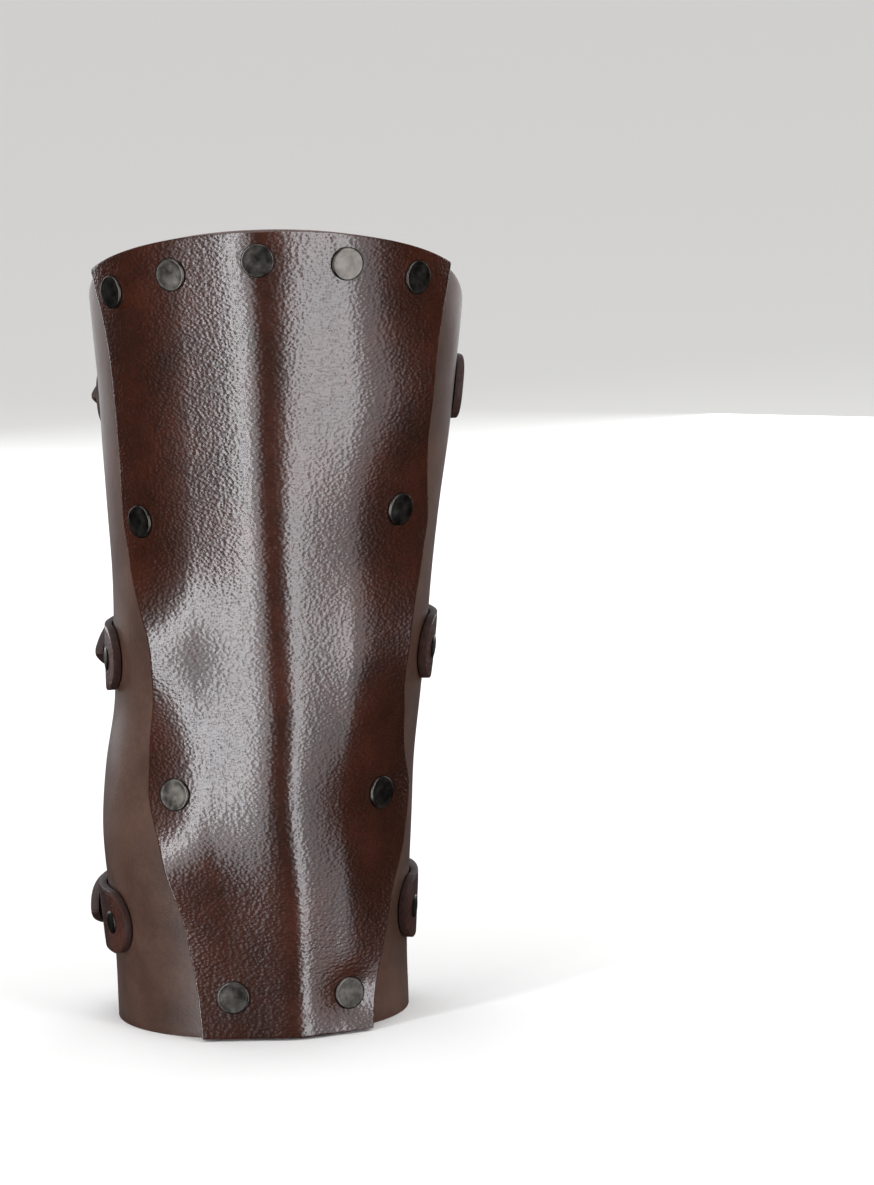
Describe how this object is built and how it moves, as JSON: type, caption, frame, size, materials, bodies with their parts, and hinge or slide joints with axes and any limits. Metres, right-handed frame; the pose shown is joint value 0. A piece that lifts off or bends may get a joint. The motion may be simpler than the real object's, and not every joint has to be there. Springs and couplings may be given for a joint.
{
  "type": "leather arm bracer",
  "caption": "Flared leather forearm guard, open at the back, with a ribbed and scalloped front plate riveted on and buckled straps across the opening.",
  "frame": {"origin": "on the floor plane under the middle of the bracer's bounding box", "axes": "+Z from the wrist edge up to the arm edge, -Y out of the front plate, +Y out of the strapped opening, +X to the right as seen from the front"},
  "size_m": [0.124, 0.1128, 0.251],
  "materials": {
    "shell_leather": "smooth reddish brown grain side, dark brown flesh side",
    "plate_leather": "glossy pebbled dark reddish brown",
    "strap_leather": "satin dark reddish brown with punched holes",
    "gunmetal": "black nickel with worn bright rims"
  },
  "bodies": {
    "root": {"shell": "shell_leather", "front_plate": "plate_leather", "tongue_strap_upper": "strap_leather", "buckle_strap_upper": "strap_leather", "tongue_strap_middle": "strap_leather", "buckle_strap_middle": "strap_leather", "tongue_strap_lower": "strap_leather", "buckle_strap_lower": "strap_leather", "buckle_frame_upper": "gunmetal", "roller_upper": "gunmetal", "prong_upper": "gunmetal", "keeper_upper": "gunmetal", "buckle_frame_middle": "gunmetal", "roller_middle": "gunmetal", "prong_middle": "gunmetal", "keeper_middle": "gunmetal", "buckle_frame_lower": "gunmetal", "roller_lower": "gunmetal", "prong_lower": "gunmetal", "keeper_lower": "gunmetal", "plate_rivet_01": "gunmetal", "plate_rivet_02": "gunmetal", "plate_rivet_03": "gunmetal", "plate_rivet_04": "gunmetal", "plate_rivet_05": "gunmetal", "plate_rivet_06": "gunmetal", "plate_rivet_07": "gunmetal", "plate_rivet_08": "gunmetal", "plate_rivet_09": "gunmetal", "plate_rivet_10": "gunmetal", "plate_rivet_11": "gunmetal", "strap_rivet_upper_tongue": "gunmetal", "strap_rivet_upper_buckle": "gunmetal", "strap_rivet_middle_tongue": "gunmetal", "strap_rivet_middle_buckle": "gunmetal", "strap_rivet_lower_tongue": "gunmetal", "strap_rivet_lower_buckle": "gunmetal"}
  },
  "joints": []
}
